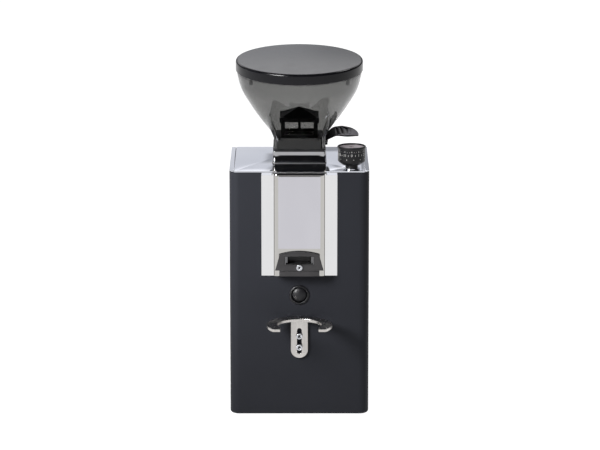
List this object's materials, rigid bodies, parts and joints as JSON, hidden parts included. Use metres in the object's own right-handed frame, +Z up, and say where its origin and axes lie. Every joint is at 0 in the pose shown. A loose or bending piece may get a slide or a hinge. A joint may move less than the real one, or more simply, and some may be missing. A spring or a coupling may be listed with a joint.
{
  "type": "burr coffee grinder",
  "caption": "Upright burr coffee grinder: slim black casing, polished chute and top plate, smoked cone hopper with lid, side gate handle, grind knob and portafilter fork.",
  "frame": {"origin": "centre of the bounding box at the surface the feet stand on", "axes": "+Z up, -Y towards the front with the spout and fork, +X to the right seen from the front"},
  "size_m": [0.13, 0.1736, 0.3374],
  "materials": {
    "casing_paint": "matte fine-texture powder coat",
    "polished_steel": "mirror polished stainless steel",
    "satin_steel": "fine brushed stainless steel",
    "zinc_steel": "zinc plated fasteners",
    "black_plastic": "moulded, fine texture",
    "gloss_black": "glossy moulded",
    "smoked_clear": "smoked transparent moulding",
    "lid_plastic": "satin black",
    "knob_black": "satin black with printed scale",
    "dial_metal": "spun face",
    "rubber": "matte",
    "cast_aluminium": "die cast, blasted",
    "burr_steel": "hardened, ground",
    "brass_nut": "turned",
    "lamination": "stacked laminations",
    "copper_winding": "enamelled copper, varnished",
    "board_green": "solder mask",
    "white_nylon": "natural nylon",
    "fan_plastic": "moulded",
    "spring_steel": "drawn wire"
  },
  "bodies": {
    "housing": {"front_casing": "casing_paint", "rear_panel": "casing_paint", "rear_panel_screws": "zinc_steel", "base_plate": "zinc_steel", "feet": "rubber", "foot_screws": "zinc_steel", "top_plate": "polished_steel", "front_insert": "polished_steel", "chute_cover": "polished_steel", "chute_duct": "black_plastic", "spout": "black_plastic", "spout_frame": "polished_steel", "spout_screw": "zinc_steel", "neck_block": "polished_steel", "socket_seal": "rubber", "knob_bushing": "polished_steel", "lever_bracket": "zinc_steel", "grinding_chamber": "cast_aluminium", "chamber_screws": "zinc_steel", "carrier_springs": "spring_steel", "motor_flange_top": "cast_aluminium", "motor_flange_bottom": "cast_aluminium", "bearing_top": "burr_steel", "bearing_bottom": "burr_steel", "stator_core": "lamination", "stator_windings": "copper_winding", "motor_bolts": "zinc_steel", "motor_legs": "zinc_steel", "motor_mounts": "rubber", "run_capacitor": "white_nylon", "timer_board": "board_green", "terminal_block": "white_nylon", "button_bezel": "gloss_black", "microswitch": "fan_plastic", "fork_screws": "zinc_steel", "fork_nut_plate": "zinc_steel", "power_switch": "gloss_black", "cord_gland": "black_plastic"},
    "hopper": {"hopper_base": "gloss_black", "hopper_bowl": "smoked_clear", "finger_guard": "gloss_black"},
    "lid": {"hopper_lid": "lid_plastic"},
    "gate": {"hopper_gate": "black_plastic"},
    "adjuster": {"adjust_knob": "knob_black", "dial_disc": "dial_metal", "adjust_spindle": "burr_steel"},
    "nut": {"adjust_nut": "brass_nut"},
    "lever": {"yoke_lever": "satin_steel"},
    "upper_burr_set": {"upper_burr_carrier": "cast_aluminium", "upper_burr": "burr_steel", "upper_burr_screws": "zinc_steel"},
    "rotor": {"lower_burr_carrier": "brass_nut", "lower_burr": "burr_steel", "lower_burr_screws": "zinc_steel", "rotor_core": "lamination", "motor_shaft": "burr_steel", "cooling_fan": "fan_plastic"},
    "button": {"push_button": "gloss_black"},
    "fork": {"portafilter_fork": "satin_steel"},
    "rocker": {"power_rocker": "gloss_black"}
  },
  "joints": [
    {"name": "hopper_lift", "type": "slide", "parent": "housing", "child": "hopper", "axis": [0, 0, 1], "range_m": [0, 0.03]},
    {"name": "lid_lift", "type": "slide", "parent": "hopper", "child": "lid", "axis": [0, -0.0828, 0.9966], "range_m": [0, 0.04]},
    {"name": "gate_slide", "type": "slide", "parent": "hopper", "child": "gate", "axis": [1, 0, 0], "range_m": [0, 0.034]},
    {"name": "knob_turn", "type": "hinge", "parent": "housing", "child": "adjuster", "pos_m": [0.0485, -0.02825, 0.2374], "axis": [0, 0, 1], "range_deg": [-360, 360]},
    {"name": "nut_travel", "type": "slide", "parent": "housing", "child": "nut", "axis": [0, 0, 1], "range_m": [-0.0011, 0.0011]},
    {"name": "lever_tilt", "type": "hinge", "parent": "housing", "child": "lever", "pos_m": [0.03621, -0.01558, 0.2065], "axis": [0.7178, 0.6963, 0], "range_deg": [-3.6, 3.6]},
    {"name": "burr_setting", "type": "slide", "parent": "housing", "child": "upper_burr_set", "axis": [0, 0, 1], "range_m": [-0.00062, 0.00062], "deforming": ["carrier_springs"]},
    {"name": "rotor_spin", "type": "hinge", "parent": "housing", "child": "rotor", "pos_m": [0, 0.02175, 0.2], "axis": [0, 0, 1], "continuous": true},
    {"name": "button_press", "type": "slide", "parent": "housing", "child": "button", "axis": [0, 1, 0], "range_m": [0, 0.0015], "stiffness_N_per_m": 800, "springref_m": -0.002},
    {"name": "fork_height", "type": "slide", "parent": "housing", "child": "fork", "axis": [0, 0, 1], "range_m": [-0.0049, 0.004]},
    {"name": "power_rock", "type": "hinge", "parent": "housing", "child": "rocker", "pos_m": [-0.0455, 0.07675, 0.032], "axis": [1, 0, 0], "range_deg": [0, 14]}
  ],
  "couplings": [
    {"joint": "knob_turn", "follows": "burr_setting", "rad_per_m": -10086},
    {"joint": "nut_travel", "follows": "burr_setting", "ratio": -1.6053},
    {"joint": "lever_tilt", "follows": "burr_setting", "rad_per_m": 90.909}
  ]
}
